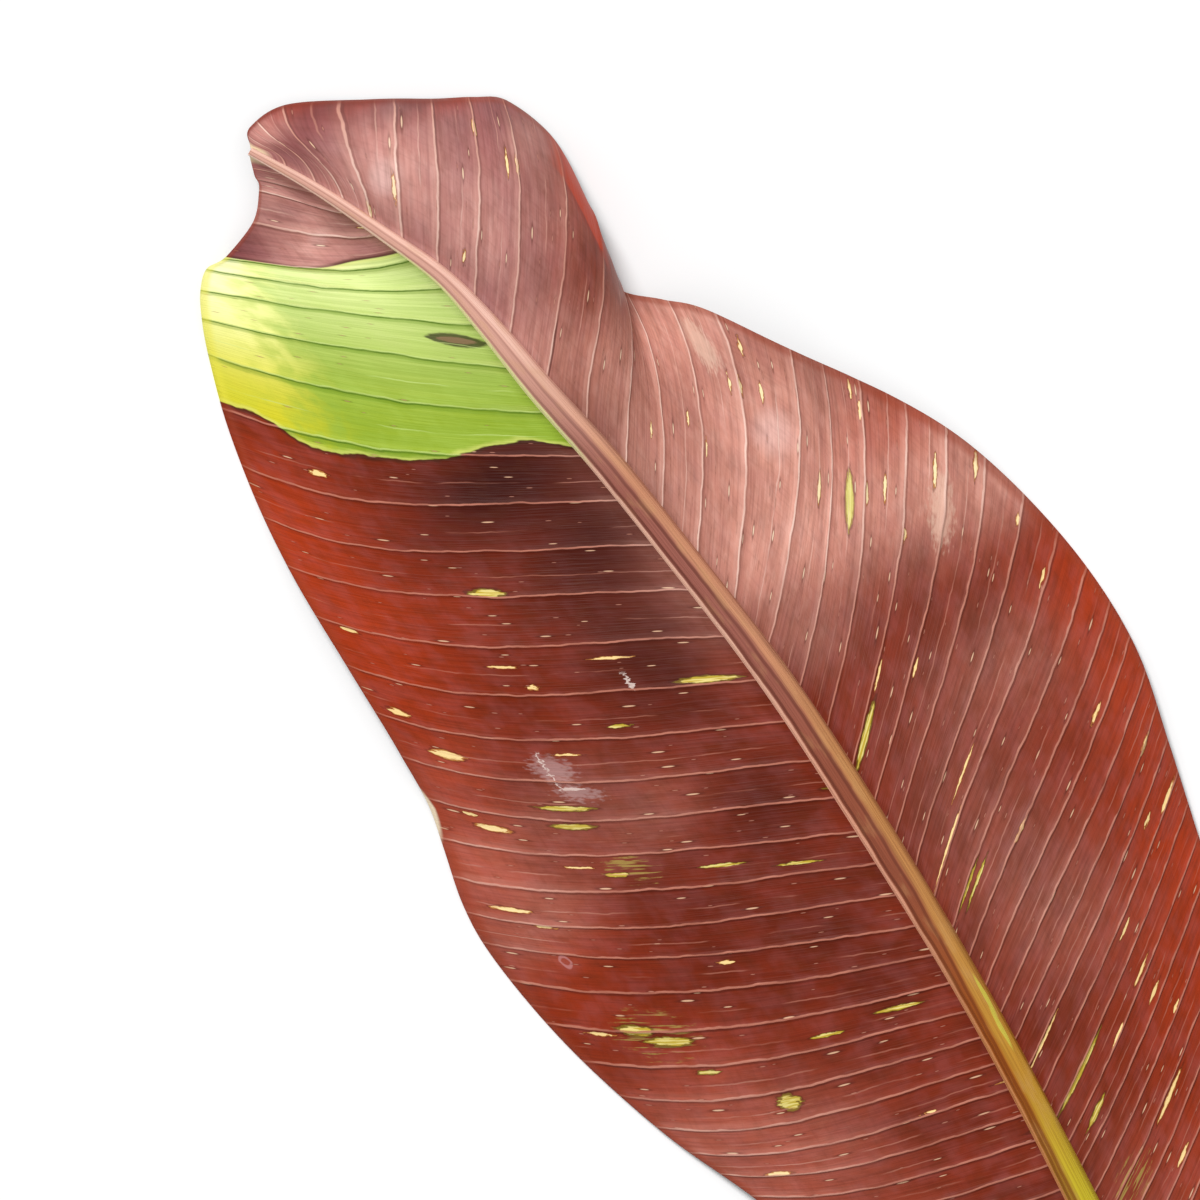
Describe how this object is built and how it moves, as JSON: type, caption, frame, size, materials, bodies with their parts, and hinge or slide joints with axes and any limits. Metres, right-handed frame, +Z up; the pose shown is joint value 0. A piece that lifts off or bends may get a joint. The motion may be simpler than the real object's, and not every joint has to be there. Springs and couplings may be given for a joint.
{
  "type": "banana leaf",
  "caption": "Cut red banana leaf lying face down: long oval blade with a raised round midrib, drooping wavy halves, a curled tip and a short channelled petiole.",
  "frame": {"origin": "on the surface that the leaf rests on, under the middle of its bounding box", "axes": "+Y along the leaf from the cut petiole to the tip, +Z up, away from the surface, +X towards the half whose tip end is curled down"},
  "size_m": [0.1496, 0.3952, 0.0253],
  "materials": {
    "leaf": "satin"
  },
  "bodies": {
    "root": {"banana_leaf": "leaf"}
  },
  "joints": []
}
